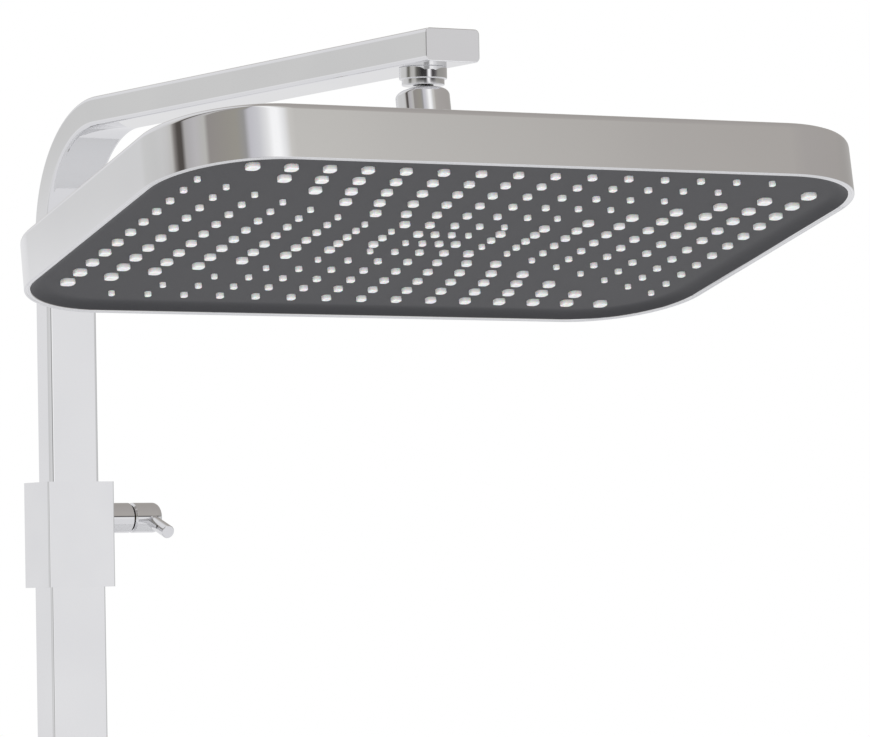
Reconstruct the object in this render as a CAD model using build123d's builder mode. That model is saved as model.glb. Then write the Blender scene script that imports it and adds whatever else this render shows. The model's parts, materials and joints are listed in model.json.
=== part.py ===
from build123d import *
import math
import os

os.makedirs("parts", exist_ok=True)

# Rainfall shower column, in millimetres. The origin is on the wall, at the middle of the upper
# wall bracket. +Z is up, -Y points away from the wall into the room, +X is to the right.

# ---- Driving sizes: the column -------------------------------------------------------------
riser_width = 27.0         # riser, the inner tube, bent over into the arm
riser_depth = 14.5
riser_wall = 1.2
riser_corner = 2.2
riser_bottom = -215.0
slide_up = 300.0           # how far the riser is pulled up from here
rail_side_gap = 0.2        # riser to the inside of the rail, at each side
rail_face_gap = 0.65       # and at the front and the back
rail_wall = 1.3            # lower rail, the outer tube of the telescope
rail_corner = 1.2
rail_bore_corner = 0.4
rail_below_bracket = 110.0
arm_top = 380.9
bend_radius = 65.5         # outside of the bend
reach = 348.8              # column axis to ball stud axis
arm_nose = 25.7            # ball stud axis to the arm's front face
cap_thickness = 1.5
cap_plug_length = 9.0

# ---- Driving sizes: the clamp box and its lever --------------------------------------------
box_side = 3.2             # rail to the box's side face
box_face = 4.3             # rail to the box's front face
box_height = 51.7
box_bottom = 144.0
box_wall = 1.5
box_corner = 0.9
lever_height = 33.9        # lever axis above the bottom of the box
boss_radius = 7.45
boss_length = 14.9
knob_length = 15.3
knob_gap = 0.5
knob_round = 3.2
groove_chamfer = 0.9
screw_radius = 4.0
pin_radius = 3.3
pin_tenon_radius = 2.0
pin_reach = 23.3           # lever axis to the pin's free end
pin_offset = 5.6           # pin axis in from the knob's end
pin_droop = 19.0           # degrees below level
pin_chamfer = 0.5
pin_sink = 1.2             # how deep the pin's shoulder sits in the knob
shoe_size = 10.0
shoe_thickness = 2.5
shoe_above_rail = 0.8
set_screw_radius = 2.0
set_screw_spacing = 14.0
set_screw_sink = 0.3
set_socket_radius = 1.15
set_socket_depth = 1.8

# ---- Driving sizes: wall brackets and water inlet ------------------------------------------
wall_gap = 38.0            # wall to the back of the rail
bracket_spacing = 400.0
sleeve_inset = 1.5         # sleeve in from the rail's side faces
sleeve_height = 46.0
sleeve_wall = 2.0
sleeve_corner = 2.0
sleeve_wall_gap = 0.5
base_length = 20.0
base_floor = 4.0
base_wall = 3.0
wall_hole_radius = 2.6
wall_hole_spacing = 24.0
grub_radius = 2.5
grub_length = 6.0
grub_sink = 0.2
grub_socket_radius = 1.4
grub_socket_depth = 2.5
inlet_radius = 10.475      # G 1/2 male thread
inlet_length = 13.0
inlet_bore = 5.0
inlet_chamfer = 1.0
inlet_flange = 1.6         # flange out from the thread
inlet_flange_thickness = 1.0
inlet_block_edge = 0.4     # block out from the flange, front and back
inlet_block_height = 14.0
inlet_block_corner = 2.0
inlet_spigot_radius = 7.0
inlet_spigot_length = 7.0
plug_length = 14.0
plug_corner = 1.0

# ---- Driving sizes: the water way inside the column ----------------------------------------
water_pipe_gap = 0.75      # water pipe to the inside of the riser
water_pipe_wall = 1.0
pipe_nesting_gap = 0.5     # stand pipe inside the water pipe
stand_pipe_wall = 0.9
stand_pipe_spare = 45.0    # stand pipe above the riser's foot when pulled right up
gland_gap = 0.45           # gland to the inside of the riser
gland_length = 22.0
o_ring_wire = 1.3
o_ring_room = 0.1
guide_flange_height = 12.0
guide_spigot_length = 15.0
bore_corner_room = 0.5     # square-cornered inserts in from the riser's side bores
block_behind_stud = 14.0
block_ahead_of_stud = 10.0
pipe_socket = 5.0
cap_lip_side = 2.4
cap_lip_face = 2.4

# ---- Driving sizes: ball joint --------------------------------------------------------------
collar_radius = 10.5
collar_height = 5.3
ring_radius = 9.35
ring_height = 2.7
ring_chamfer = 0.4
ring_clear_of_ball = 0.9
ball_radius = 8.4
neck_share = 0.56          # neck radius as a share of the ball's
stud_bore = 2.75
stud_thread_radius = 7.0
stud_thread_length = 9.0
seal_thickness = 1.0
seal_inset = 1.8           # stud seal in from the collar's edge
seat_thickness = 0.6
seat_share = 0.583         # half the seats' height as a share of the ball's radius
nut_top_share = 0.78       # nut's top face above the ball centre, as a share of its radius
nut_lip = 0.08             # flat lip round the nut's opening
nut_round = 2.2
nut_wall = 1.7
socket_wall = 0.45         # cup to the root of the socket base's thread
cup_top = 3.5              # cup's rim below the ball centre
socket_floor = 6.0         # nut's lower end to the washer's seat
nipple_engagement = 10.0
passage_radius = 4.0
ball_seal_wire = 0.9
ball_seal_radius = 5.2

# ---- Driving sizes: the rain head ----------------------------------------------------------
head_length = 326.0
head_width = 232.0
head_corner = 48.5
head_height = 23.8
head_drop = 39.1           # top of the head below the ball centre
head_skin = 1.2
head_top_round = 3.0
head_tilt = -12.2          # rest pose: front edge raised
head_lean = 1.9
head_turn = -5.6
rim_width = 1.4
rim_height = 8.0
plate_recess = 3.7         # plate face up from the rim's lower edge
plate_thickness = 2.5
plate_border_width = 3.0   # sloping border round the face, down to the rim
plate_border_lip = 0.2
plate_border_setback = 0.6 # border's edge up from the rim's lower edge
plate_ledge_width = 7.0
mat_thickness = 1.6
chamber_wall = 2.2
chamber_flange = 2.5
chamber_inset = 8.7        # chamber wall in from the plate's edge
nipple_radius = 9.1
nipple_bore = 7.0
nipple_flange_radius = 15.0
nipple_flange = 2.5
lock_nut_width = 24.0
lock_nut_height = 4.6
hub_base_radius = 22.0
hub_top_radius = 15.5
hub_height = 8.2
hub_skin = 1.2
hub_edge_width = 1.2       # bevel round the top of the hub cover
hub_edge_height = 0.8
hub_clear_of_nut = 0.4
hub_clear_of_base = 0.9    # socket base above the hub cover
washer_squash = 0.5        # nipple below the washer's free face
insert_depth = 12.0        # step in the nipple that the restrictor rests above
insert_step = 1.0
insert_gap = 1.0
restrictor_thickness = 4.0
restrictor_hole = 0.9
filter_thickness = 1.0
filter_outer_ring = 0.72   # rings of holes, as a share of the insert's radius
filter_inner_ring = 0.4
restrictor_ring = 0.6
filter_hole = 0.8
face_screw_radius = 1.45
face_screw_head = 2.6
face_screw_head_height = 1.6
face_screw_length = 5.2
face_screw_outset = 0.3    # screws out from the middle of the ledge
long_side_screws = (-0.62, -0.22, 0.22, 0.62)  # shares of half the plate's length
short_side_screws = (-0.31, 0.31)              # and of half its width

# ---- Driving sizes: the nozzle pattern, four groups like a pinwheel --------------------------
row_counts = [4, 5, 7, 9, 11, 13, 15]
row_first_y = 6.7
row_second_y = 20.3
row_edge = 19.5            # outermost row in from the plate's long edge
row_start = 24.35          # where the second row starts, and the last row from the plate's end
row_start_edge = 35.2
row_end = 22.9
row_end_edge = 44.9
inner_row_half = 12.0
column_counts = [3, 5, 6, 7, 8, 9, 10, 11]
column_first_x = 25.85
column_edge = 18.6         # outermost column in from the plate's short edge
column_start = 9.4         # where the first column starts, and the last one from the plate's side
column_start_edge = 38.94
column_end = 10.0
column_end_edge = 35.19
nib_small = 2.6
nib_large = 4.0
nib_large_step = 0.3
nib_corner_share = 0.3
nib_stand_out = 2.0

# ---- Clearances -----------------------------------------------------------------------------
slide_clearance = 0.1      # riser and its guides
running_clearance = 0.05   # turned fits that move
fixed_clearance = 0.1      # pieces assembled and then fixed
ball_clearance = 0.05
nib_clearance = 0.15

# ---- Places that follow from the sizes -------------------------------------------------------
rail_width = riser_width + 2 * (rail_side_gap + rail_wall)
rail_depth = riser_depth + 2 * (rail_face_gap + rail_wall)
rail_bottom = -(bracket_spacing + rail_below_bracket)
box_width = rail_width + 2 * box_side
box_depth = rail_depth + 2 * box_face
sleeve_width = rail_width - 2 * sleeve_inset
inlet_block_depth = 2 * (inlet_radius + inlet_flange + inlet_block_edge)
rail_engagement = lever_height - shoe_size / 2 - slide_clearance - shoe_above_rail
column_y = -(wall_gap + rail_depth / 2)
rail_back_y = -wall_gap
arm_underside = arm_top - riser_depth
arm_axis_z = arm_top - riser_depth / 2
bend_mid_radius = bend_radius - riser_depth / 2
stud_y = column_y - reach
arm_front_y = stud_y - arm_nose
tube_front_y = arm_front_y + cap_thickness
riser_bore_width = riser_width - 2 * riser_wall
riser_bore_depth = riser_depth - 2 * riser_wall
riser_bore_corner = riser_corner - riser_wall
insert_width = riser_bore_width - 2 * (fixed_clearance + bore_corner_room)
insert_height = riser_bore_depth - 2 * fixed_clearance
water_pipe_radius = riser_bore_depth / 2 - water_pipe_gap
water_pipe_bore = water_pipe_radius - water_pipe_wall
stand_pipe_radius = water_pipe_bore - pipe_nesting_gap
stand_pipe_bore = stand_pipe_radius - stand_pipe_wall
stand_pipe_top = riser_bottom + slide_up + stand_pipe_spare
gland_radius = riser_bore_depth / 2 - gland_gap
rail_bore_width = rail_width - 2 * rail_wall
rail_bore_depth = rail_depth - 2 * rail_wall
rail_top = box_bottom + rail_engagement
box_top = box_bottom + box_height
lever_z = box_bottom + lever_height
boss_end = box_width / 2 + boss_length
knob_start = boss_end + knob_gap
knob_end = knob_start + knob_length
pin_x = knob_end - pin_offset
shoe_inner_x = riser_width / 2 + slide_clearance
shoe_outer_x = shoe_inner_x + shoe_thickness
ring_above_ball = ball_radius + ring_clear_of_ball
ball_z = arm_underside - collar_height - ring_height - ring_above_ball
ball_centre = (0, stud_y, ball_z)
tilt_seat_inner = ball_radius + ball_clearance
tilt_seat_outer = tilt_seat_inner + seat_thickness
lean_seat_inner = tilt_seat_outer + ball_clearance
lean_seat_outer = lean_seat_inner + seat_thickness
cup_radius = lean_seat_outer + ball_clearance
seat_half_height = seat_share * ball_radius
neck_radius = neck_share * ball_radius
thread_radius = cup_radius + socket_wall
nut_radius = thread_radius + nut_wall
nut_top = nut_top_share * ball_radius
nut_opening = math.sqrt(cup_radius ** 2 - nut_top ** 2) + nut_lip
base_bottom = head_drop - hub_height - hub_clear_of_base
base_shoulder = base_bottom - nipple_engagement
nut_skirt = base_shoulder - socket_floor

head_frame = Plane(Location(ball_centre, (head_tilt, head_lean, head_turn)))
head_axis = Axis(ball_centre, tuple(head_frame.z_dir))
head_section = Plane(ball_centre, x_dir=head_frame.x_dir, z_dir=-head_frame.y_dir)
stud_section = Plane(ball_centre, x_dir=(1, 0, 0), z_dir=(0, -1, 0))
stud_axis = Axis(ball_centre, (0, 0, 1))
column_section = Plane((0, column_y, 0), x_dir=(1, 0, 0), z_dir=(0, -1, 0))
column_axis = Axis((0, column_y, 0), (0, 0, 1))
lever_section = Plane((0, column_y, lever_z), x_dir=(1, 0, 0), z_dir=(0, -1, 0))
lever_axis = Axis((0, column_y, lever_z), (1, 0, 0))
pin_direction = (0, -math.cos(math.radians(pin_droop)), -math.sin(math.radians(pin_droop)))

plate_face = -(head_drop + head_height - plate_recess)
plate_top = plate_face + plate_thickness
mat_top = plate_top + mat_thickness
plate_length = head_length - 2 * (head_skin + rim_width + fixed_clearance)
plate_width = head_width - 2 * (head_skin + rim_width + fixed_clearance)
plate_corner = head_corner - head_skin - rim_width - fixed_clearance
chamber_top = -(head_drop + head_skin)
nipple_top = -(base_shoulder + seal_thickness + washer_squash)
rings_out = len(row_counts) - 2
row_pitch = (plate_width / 2 - row_edge - row_second_y) / rings_out
row_start_step = (plate_length / 2 - row_start_edge - row_start) / rings_out
row_end_step = (plate_length / 2 - row_end_edge - row_end) / rings_out
columns_out = len(column_counts) - 1
column_pitch = (plate_length / 2 - column_edge - column_first_x) / columns_out
column_start_step = (plate_width / 2 - column_start_edge - column_start) / columns_out
column_end_step = (plate_width / 2 - column_end_edge - column_end) / columns_out


def column_plane(z):
    """Level plane centred on the column's axis."""
    return Plane((0, column_y, z))


def wall_plane(y, z):
    """Upright plane that faces the room, centred at height z on the column's middle."""
    return Plane((0, y, z), x_dir=(1, 0, 0), z_dir=(0, -1, 0))


def side_plane(x, z):
    """Upright plane that faces +X, centred on the column's axis at height z."""
    return Plane((x, column_y, z), x_dir=(0, 1, 0), z_dir=(1, 0, 0))


def turned(section, axis, outline):
    """A turned piece: a closed outline of (radius, height) points, revolved about the axis."""
    with BuildPart() as piece:
        with BuildSketch(section):
            with BuildLine():
                Polyline(*outline, close=True)
            make_face()
        revolve(axis=axis)
    return piece


def seat_ring(inner, outer):
    """A band of a spherical shell round the ball's centre."""
    with BuildPart() as piece:
        with BuildSketch(head_section):
            Circle(outer)
            Circle(inner, mode=Mode.SUBTRACT)
            with Locations((outer / 2 + 1, 0)):
                Rectangle(outer + 2, 2 * seat_half_height, mode=Mode.INTERSECT)
            with Locations((-outer, 0)):
                Rectangle(2 * outer, 4 * outer, mode=Mode.SUBTRACT)
        revolve(axis=head_axis)
    return piece


def nozzles():
    """Every nozzle as (x, y, side), in the plane of the plate, with (0, 0) at its middle."""
    places = []
    for ring, count in enumerate(row_counts):
        outward = max(ring - 1, 0)
        y = -(row_second_y + row_pitch * outward) if ring else -row_first_y
        first = -(row_start + row_start_step * outward) if ring else -inner_row_half
        last = row_end + row_end_step * outward if ring else inner_row_half
        places += nozzle_line((first, y), (last, y), count, nib_large + nib_large_step * ring, nib_small)
    for ring, count in enumerate(column_counts):
        x = -(column_first_x + column_pitch * ring)
        first = -(column_start + column_start_step * ring)
        last = column_end + column_end_step * ring
        places += nozzle_line((x, first), (x, last), count, nib_small, nib_large + nib_large_step * ring)
    return places + [(-x, -y, side) for x, y, side in places]


def nib_outlines(margin):
    """One rounded square for each nozzle, grown by the margin, all to be added in one step."""
    return [Pos(x, y) * RectangleRounded(side + 2 * margin, side + 2 * margin, side * nib_corner_share)
            for x, y, side in nozzles()]


def nozzle_line(first, last, count, first_side, last_side):
    """Evenly spaced nozzles from first to last, with a side that changes evenly along the line."""
    line = []
    for index in range(count):
        share = index / (count - 1)
        x = first[0] + (last[0] - first[0]) * share
        y = first[1] + (last[1] - first[1]) * share
        line.append((x, y, first_side + (last_side - first_side) * share))
    return line


pieces = {}

# ---- Lower rail: drawn rectangular tube, brazed to the two bracket sleeves -------------------
with BuildPart() as rail_tube:
    with BuildSketch(column_plane(rail_bottom)):
        RectangleRounded(rail_width, rail_depth, rail_corner)
        RectangleRounded(rail_bore_width, rail_bore_depth, rail_bore_corner, mode=Mode.SUBTRACT)
    extrude(amount=rail_top - rail_bottom)
pieces["rail_tube"] = rail_tube

# ---- Wall brackets: a sleeve on the rail slides over a base screwed to the wall --------------
bracket_heights = {"upper": 0.0, "lower": -bracket_spacing}
sleeve_length = wall_gap - sleeve_wall_gap
base_width = sleeve_width - 2 * sleeve_wall - 2 * fixed_clearance
base_height = sleeve_height - 2 * sleeve_wall - 2 * fixed_clearance
grub_y = -base_length / 2
for level, height in bracket_heights.items():
    sleeve_bottom = Plane((0, grub_y, height - sleeve_height / 2))
    with BuildPart() as bracket_sleeve:
        with BuildSketch(wall_plane(rail_back_y, height)):
            RectangleRounded(sleeve_width, sleeve_height, sleeve_corner)
        extrude(amount=-sleeve_length)
        with BuildSketch(wall_plane(rail_back_y + sleeve_wall, height)):
            Rectangle(sleeve_width - 2 * sleeve_wall, sleeve_height - 2 * sleeve_wall)
        extrude(amount=-sleeve_length, mode=Mode.SUBTRACT)
        with BuildSketch(sleeve_bottom):
            Circle(grub_radius + running_clearance)
        extrude(amount=sleeve_wall, mode=Mode.SUBTRACT)
    pieces[level + "_bracket_sleeve"] = bracket_sleeve

    with BuildPart() as wall_base:
        with BuildSketch(wall_plane(0, height)):
            Rectangle(base_width, base_height)
        extrude(amount=base_length)
        with BuildSketch(wall_plane(-base_floor, height)):
            Rectangle(base_width - 2 * base_wall, base_height - 2 * base_wall)
        extrude(amount=base_length, mode=Mode.SUBTRACT)
        with BuildSketch(wall_plane(0, height)):
            with GridLocations(0, wall_hole_spacing, 1, 2):
                Circle(wall_hole_radius)
        extrude(amount=base_floor, mode=Mode.SUBTRACT)
        with BuildSketch(sleeve_bottom):
            Circle(grub_radius + running_clearance)
        extrude(amount=sleeve_wall + fixed_clearance + base_wall, mode=Mode.SUBTRACT)
    pieces[level + "_wall_base"] = wall_base

with BuildPart() as bracket_grub_screws:
    for height in bracket_heights.values():
        with BuildSketch(Plane((0, grub_y, height - sleeve_height / 2 + grub_sink))):
            Circle(grub_radius)
        extrude(amount=grub_length)
        with BuildSketch(Plane((0, grub_y, height - sleeve_height / 2 + grub_sink))):
            RegularPolygon(grub_socket_radius, 6)
        extrude(amount=grub_socket_depth, mode=Mode.SUBTRACT)
pieces["bracket_grub_screws"] = bracket_grub_screws

# ---- Bottom of the rail: plug block, inlet nipple and the fixed stand pipe -------------------
nipple_foot = rail_bottom - inlet_block_height
nipple_flange_foot = nipple_foot - inlet_flange_thickness
nipple_end = nipple_flange_foot - inlet_length
with BuildPart() as bottom_plug:
    with BuildSketch(column_plane(rail_bottom)):
        RectangleRounded(rail_width, inlet_block_depth, inlet_block_corner)
    extrude(amount=-inlet_block_height)
    with BuildSketch(column_plane(rail_bottom)):
        RectangleRounded(
            rail_bore_width - 2 * fixed_clearance, rail_bore_depth - 2 * fixed_clearance, plug_corner)
    extrude(amount=plug_length)
    with BuildSketch(column_plane(nipple_foot)):
        Circle(inlet_spigot_radius + running_clearance)
    extrude(amount=inlet_spigot_length + inlet_chamfer, mode=Mode.SUBTRACT)
    with BuildSketch(column_plane(nipple_foot)):
        Circle(stand_pipe_radius)
    extrude(amount=inlet_block_height + plug_length, mode=Mode.SUBTRACT)
pieces["bottom_plug"] = bottom_plug

pieces["inlet_nipple"] = turned(column_section, column_axis, [
    (inlet_bore, nipple_end - inlet_chamfer),
    (inlet_radius - inlet_chamfer, nipple_end - inlet_chamfer),
    (inlet_radius, nipple_end),
    (inlet_radius, nipple_flange_foot),
    (inlet_radius + inlet_flange, nipple_flange_foot),
    (inlet_radius + inlet_flange, nipple_foot),
    (inlet_spigot_radius, nipple_foot),
    (inlet_spigot_radius, nipple_foot + inlet_spigot_length),
    (inlet_bore, nipple_foot + inlet_spigot_length)])

stand_pipe_foot = nipple_foot + inlet_spigot_length + inlet_chamfer
with BuildPart() as stand_pipe:
    with BuildSketch(column_plane(stand_pipe_foot)):
        Circle(stand_pipe_radius)
        Circle(stand_pipe_bore, mode=Mode.SUBTRACT)
    extrude(amount=stand_pipe_top - stand_pipe_foot)
pieces["stand_pipe"] = stand_pipe

# ---- Clamp box: cast block that joins the two tubes, open through for the riser --------------
bush_width = box_width - 2 * box_wall - 2 * fixed_clearance
bush_depth = box_depth - 2 * box_wall - 2 * fixed_clearance
set_screw_z = box_bottom + rail_engagement / 2
with BuildPart() as clamp_box:
    with BuildSketch(column_plane(box_bottom)):
        RectangleRounded(box_width, box_depth, box_corner)
        Rectangle(rail_width + 2 * fixed_clearance, rail_depth + 2 * fixed_clearance, mode=Mode.SUBTRACT)
    extrude(amount=rail_engagement)
    with BuildSketch(column_plane(rail_top)):
        RectangleRounded(box_width, box_depth, box_corner)
        Rectangle(box_width - 2 * box_wall, box_depth - 2 * box_wall, mode=Mode.SUBTRACT)
    extrude(amount=box_height - rail_engagement)
    with BuildSketch(side_plane(0, lever_z)):
        Circle(boss_radius - box_wall)
    extrude(amount=box_width, mode=Mode.SUBTRACT)
    with BuildSketch(wall_plane(column_y + box_depth / 2, set_screw_z)):
        with GridLocations(set_screw_spacing, 0, 2, 1):
            Circle(set_screw_radius + running_clearance)
    extrude(amount=box_depth / 2 - rail_depth / 2, mode=Mode.SUBTRACT)
pieces["clamp_box"] = clamp_box

set_screw_plane = wall_plane(column_y + box_depth / 2 - set_screw_sink, set_screw_z)
with BuildPart() as box_set_screws:
    with BuildSketch(set_screw_plane):
        with GridLocations(set_screw_spacing, 0, 2, 1):
            Circle(set_screw_radius)
    extrude(amount=box_depth / 2 - rail_depth / 2 - set_screw_sink)
    with BuildSketch(set_screw_plane):
        with GridLocations(set_screw_spacing, 0, 2, 1):
            RegularPolygon(set_socket_radius, 6)
    extrude(amount=set_socket_depth, mode=Mode.SUBTRACT)
pieces["box_set_screws"] = box_set_screws

with BuildPart() as guide_bush:
    with BuildSketch(column_plane(rail_top)):
        Rectangle(bush_width, bush_depth)
        RectangleRounded(riser_width + 2 * slide_clearance, riser_depth + 2 * slide_clearance,
                         riser_corner, mode=Mode.SUBTRACT)
    extrude(amount=box_top - rail_top)
    with BuildSketch(side_plane(0, lever_z)):
        Rectangle(shoe_size + 2 * slide_clearance, shoe_size + 2 * slide_clearance)
    extrude(amount=box_width, mode=Mode.SUBTRACT)
pieces["guide_bush"] = guide_bush

# ---- Clamp: boss on the box, screw with lever knob and pin, and the shoe that it presses -----
with BuildPart() as clamp_shoe:
    with BuildSketch(side_plane(shoe_inner_x, lever_z)):
        Rectangle(shoe_size, shoe_size)
    extrude(amount=shoe_thickness)
pieces["clamp_shoe"] = clamp_shoe

spigot_end = box_width / 2 - box_wall
screw_bore = screw_radius + running_clearance
pieces["lever_boss"] = turned(lever_section, lever_axis, [
    (spigot_end, screw_bore),
    (spigot_end, boss_radius - box_wall - fixed_clearance),
    (box_width / 2, boss_radius - box_wall - fixed_clearance),
    (box_width / 2, boss_radius),
    (boss_end - groove_chamfer, boss_radius),
    (boss_end, boss_radius - groove_chamfer),
    (boss_end, screw_bore)])

pin_plane = Plane((pin_x, column_y, lever_z), x_dir=(1, 0, 0), z_dir=pin_direction)
screw_start = shoe_outer_x + ball_clearance
screw_end = knob_end - knob_round
pin_shoulder = boss_radius - pin_sink
with BuildPart() as clamp_screw:
    with BuildSketch(side_plane(screw_start, lever_z)):
        Circle(screw_radius)
    extrude(amount=screw_end - screw_start)
    with BuildSketch(pin_plane):
        Circle(pin_tenon_radius + running_clearance)
    extrude(amount=2 * screw_radius, both=True, mode=Mode.SUBTRACT)
pieces["clamp_screw"] = clamp_screw

with BuildPart() as lever_knob:
    with BuildSketch(lever_section):
        with BuildLine():
            Polyline(
                (knob_start, screw_bore), (knob_start, boss_radius - groove_chamfer),
                (knob_start + groove_chamfer, boss_radius), (knob_end - knob_round, boss_radius))
            RadiusArc((knob_end - knob_round, boss_radius), (knob_end, boss_radius - knob_round), knob_round)
            Polyline(
                (knob_end, boss_radius - knob_round), (knob_end, 0), (screw_end + running_clearance, 0),
                (screw_end + running_clearance, screw_bore), (knob_start, screw_bore))
        make_face()
    revolve(axis=lever_axis)
    with BuildSketch(pin_plane):
        Circle(pin_tenon_radius + running_clearance)
    extrude(amount=2 * boss_radius, mode=Mode.SUBTRACT)
    with BuildSketch(pin_plane.offset(pin_shoulder)):
        Circle(pin_radius + running_clearance)
    extrude(amount=2 * boss_radius, mode=Mode.SUBTRACT)
pieces["lever_knob"] = lever_knob

with BuildPart() as lever_pin:
    with BuildSketch(pin_plane.offset(pin_shoulder)):
        Circle(pin_radius)
    extrude(amount=pin_reach - pin_shoulder)
    chamfer(lever_pin.edges().group_by(Axis((0, 0, 0), pin_direction))[-1], pin_chamfer)
    with BuildSketch(pin_plane):
        Circle(pin_tenon_radius)
    extrude(amount=pin_shoulder)
pieces["lever_pin"] = lever_pin

# ---- Riser and arm: one bent rectangular tube, with its end cap and bottom guide -------------
with BuildPart() as riser_tube:
    with BuildLine():
        FilletPolyline(
            (0, column_y, riser_bottom), (0, column_y, arm_axis_z), (0, tube_front_y, arm_axis_z),
            radius=bend_mid_radius)
    with BuildSketch(column_plane(riser_bottom)):
        RectangleRounded(riser_width, riser_depth, riser_corner)
        RectangleRounded(riser_bore_width, riser_bore_depth, riser_bore_corner, mode=Mode.SUBTRACT)
    sweep()
    with BuildSketch(Plane((0, stud_y, arm_underside))):
        Circle(stud_thread_radius + fixed_clearance)
    extrude(amount=riser_wall, mode=Mode.SUBTRACT)
pieces["riser_tube"] = riser_tube

with BuildPart() as arm_end_cap:
    with BuildSketch(wall_plane(tube_front_y, arm_axis_z)):
        RectangleRounded(riser_width, riser_depth, riser_corner)
    extrude(amount=cap_thickness)
    with BuildSketch(wall_plane(tube_front_y, arm_axis_z)):
        Rectangle(insert_width, insert_height)
        Rectangle(insert_width - 2 * cap_lip_side, insert_height - 2 * cap_lip_face, mode=Mode.SUBTRACT)
    extrude(amount=-cap_plug_length)
pieces["arm_end_cap"] = arm_end_cap

block_front_y = stud_y - block_ahead_of_stud
block_back_y = stud_y + block_behind_stud
with BuildPart() as elbow_block:
    with BuildSketch(wall_plane(block_back_y, arm_axis_z)):
        Rectangle(insert_width, insert_height)
    extrude(amount=block_back_y - block_front_y)
    with BuildSketch(wall_plane(block_back_y, arm_axis_z)):
        Circle(water_pipe_radius)
    extrude(amount=pipe_socket, mode=Mode.SUBTRACT)
    with BuildSketch(wall_plane(block_back_y, arm_axis_z)):
        Circle(water_pipe_bore)
    extrude(amount=block_behind_stud, mode=Mode.SUBTRACT)
    with BuildSketch(Plane((0, stud_y, arm_underside))):
        Circle(stud_thread_radius)
    extrude(amount=stud_thread_length, mode=Mode.SUBTRACT)
pieces["elbow_block"] = elbow_block

guide_bottom = riser_bottom - guide_flange_height
pipe_bottom = guide_bottom + gland_length
with BuildPart() as water_pipe:
    with BuildLine():
        FilletPolyline(
            (0, column_y, pipe_bottom), (0, column_y, arm_axis_z),
            (0, block_back_y - pipe_socket, arm_axis_z), radius=bend_mid_radius)
    with BuildSketch(column_plane(pipe_bottom)):
        Circle(water_pipe_radius)
        Circle(water_pipe_bore, mode=Mode.SUBTRACT)
    sweep()
pieces["water_pipe"] = water_pipe

with BuildPart() as riser_guide:
    with BuildSketch(column_plane(guide_bottom)):
        RectangleRounded(
            rail_bore_width - 2 * slide_clearance, rail_bore_depth - 2 * slide_clearance, plug_corner)
    extrude(amount=guide_flange_height)
    with BuildSketch(column_plane(riser_bottom)):
        Rectangle(insert_width, insert_height)
    extrude(amount=guide_spigot_length)
    with BuildSketch(column_plane(guide_bottom)):
        Circle(gland_radius + running_clearance)
    extrude(amount=guide_flange_height + guide_spigot_length, mode=Mode.SUBTRACT)
pieces["riser_guide"] = riser_guide

gland_bore = stand_pipe_radius + running_clearance
groove_heights = [guide_bottom + gland_length * share for share in (0.3, 0.7)]
with BuildPart() as pipe_gland:
    with BuildSketch(column_plane(guide_bottom)):
        Circle(gland_radius)
        Circle(gland_bore, mode=Mode.SUBTRACT)
    extrude(amount=gland_length)
    for height in groove_heights:
        with BuildSketch(column_plane(height - o_ring_wire / 2 - o_ring_room)):
            Circle(gland_bore + o_ring_wire)
        extrude(amount=o_ring_wire + 2 * o_ring_room, mode=Mode.SUBTRACT)
pieces["pipe_gland"] = pipe_gland

with BuildPart() as gland_o_rings:
    with BuildSketch(column_section):
        for height in groove_heights:
            with Locations((gland_bore + o_ring_wire / 2, height)):
                Circle(o_ring_wire / 2 - o_ring_room / 4)
    revolve(axis=column_axis)
pieces["gland_o_rings"] = gland_o_rings

# ---- Ball stud under the arm, with its seal ---------------------------------------------------
underside = arm_underside - ball_z
seal_bore = stud_thread_radius + fixed_clearance
seal_rim = collar_radius - seal_inset
with BuildPart() as ball_stud:
    with BuildSketch(stud_section):
        with BuildLine():
            Polyline(
                (stud_bore, 0), (stud_bore, underside + stud_thread_length),
                (stud_thread_radius, underside + stud_thread_length),
                (stud_thread_radius, underside - seal_thickness), (seal_rim, underside - seal_thickness),
                (seal_rim, underside), (collar_radius, underside),
                (collar_radius, underside - collar_height),
                (ring_radius, underside - collar_height), (ring_radius, ring_above_ball + ring_chamfer),
                (ring_radius - ring_chamfer, ring_above_ball), (neck_radius, ring_above_ball),
                (neck_radius, 0), (stud_bore, 0))
        make_face()
    revolve(axis=stud_axis)
    with BuildSketch(stud_section):
        Circle(ball_radius)
        with Locations((-ball_radius, 0)):
            Rectangle(2 * (ball_radius + stud_bore), 4 * ball_radius, mode=Mode.SUBTRACT)
    revolve(axis=stud_axis)
pieces["ball_stud"] = ball_stud

pieces["stud_seal"] = turned(stud_section, stud_axis, [
    (seal_bore, underside - seal_thickness), (seal_rim - running_clearance, underside - seal_thickness),
    (seal_rim - running_clearance, underside), (seal_bore, underside)])

# ---- Seats round the ball: two nested bands of slippery plastic -------------------------------
pieces["tilt_seat"] = seat_ring(tilt_seat_inner, tilt_seat_outer)
pieces["lean_seat"] = seat_ring(lean_seat_inner, lean_seat_outer)

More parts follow.
